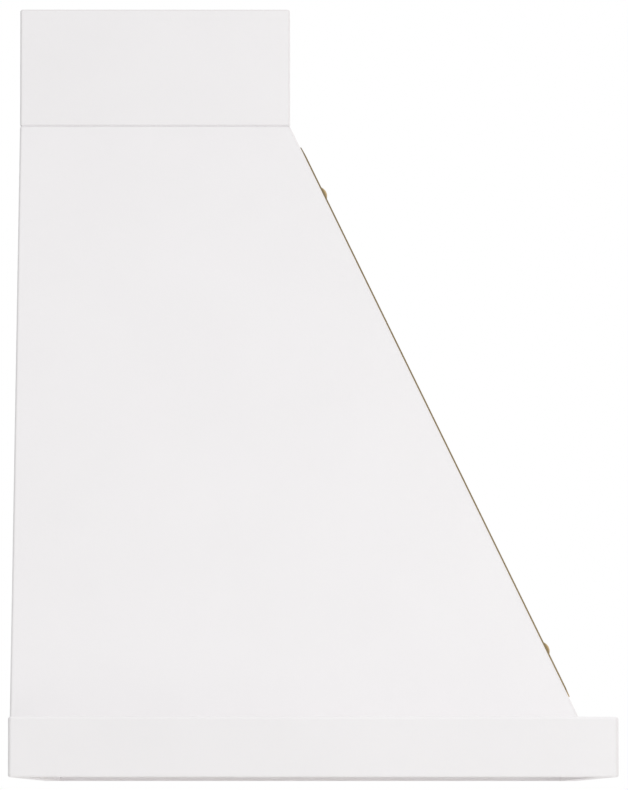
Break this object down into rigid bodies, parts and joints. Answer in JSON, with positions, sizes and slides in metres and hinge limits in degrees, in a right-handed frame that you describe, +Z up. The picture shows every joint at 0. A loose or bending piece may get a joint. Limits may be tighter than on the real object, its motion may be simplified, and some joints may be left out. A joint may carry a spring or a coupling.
{
  "type": "wall range hood cover",
  "caption": "Tapered wooden cover for a wall range hood, with a band around its foot, an upright chimney and brass straps on its sloped front.",
  "frame": {"origin": "on the wall, midway across the cover and level with its underside; wall_face is stated 4 mm above it, clear of the lower rail's rounded edge", "axes": "+X to the right as seen from the kitchen, -Y out of the wall towards the kitchen, +Z up"},
  "size_m": [0.9144, 0.6096, 0.8001],
  "materials": {
    "white_lacquer": "satin white lacquer on poplar",
    "white_primer": "matt white primer on poplar, one coat, sanded",
    "bare_poplar": "planed and sanded, unfinished",
    "aged_brass": "brushed, lightly aged",
    "zinc_screw": "zinc plated"
  },
  "bodies": {
    "root": {"band_front": "white_lacquer", "band_left": "white_lacquer", "band_right": "white_lacquer", "batten_front": "bare_poplar", "batten_left": "bare_poplar", "batten_right": "bare_poplar", "body_block_left": "bare_poplar", "body_block_right": "bare_poplar", "body_front": "white_lacquer", "body_left": "white_lacquer", "body_right": "white_lacquer", "chimney_batten_front": "bare_poplar", "chimney_batten_left": "bare_poplar", "chimney_batten_right": "bare_poplar", "chimney_block_left": "bare_poplar", "chimney_block_right": "bare_poplar", "chimney_front": "white_lacquer", "chimney_left": "white_lacquer", "chimney_rail": "bare_poplar", "chimney_right": "white_lacquer", "cleat_screws": "zinc_screw", "hanging_cleat": "bare_poplar", "ledge_front": "white_lacquer", "ledge_left": "white_lacquer", "ledge_right": "white_lacquer", "liner_rail_back": "white_primer", "liner_rail_front": "white_primer", "liner_rail_left": "white_primer", "liner_rail_right": "white_primer", "liner_rail_screws": "zinc_screw", "neck_back": "bare_poplar", "neck_front": "bare_poplar", "neck_left": "bare_poplar", "neck_right": "bare_poplar", "neck_screws": "zinc_screw", "stile_left": "bare_poplar", "stile_right": "bare_poplar", "strap_left": "aged_brass", "strap_right": "aged_brass", "strap_studs_left": "aged_brass", "strap_studs_right": "aged_brass", "wall_rail": "white_lacquer"}
  },
  "joints": []
}
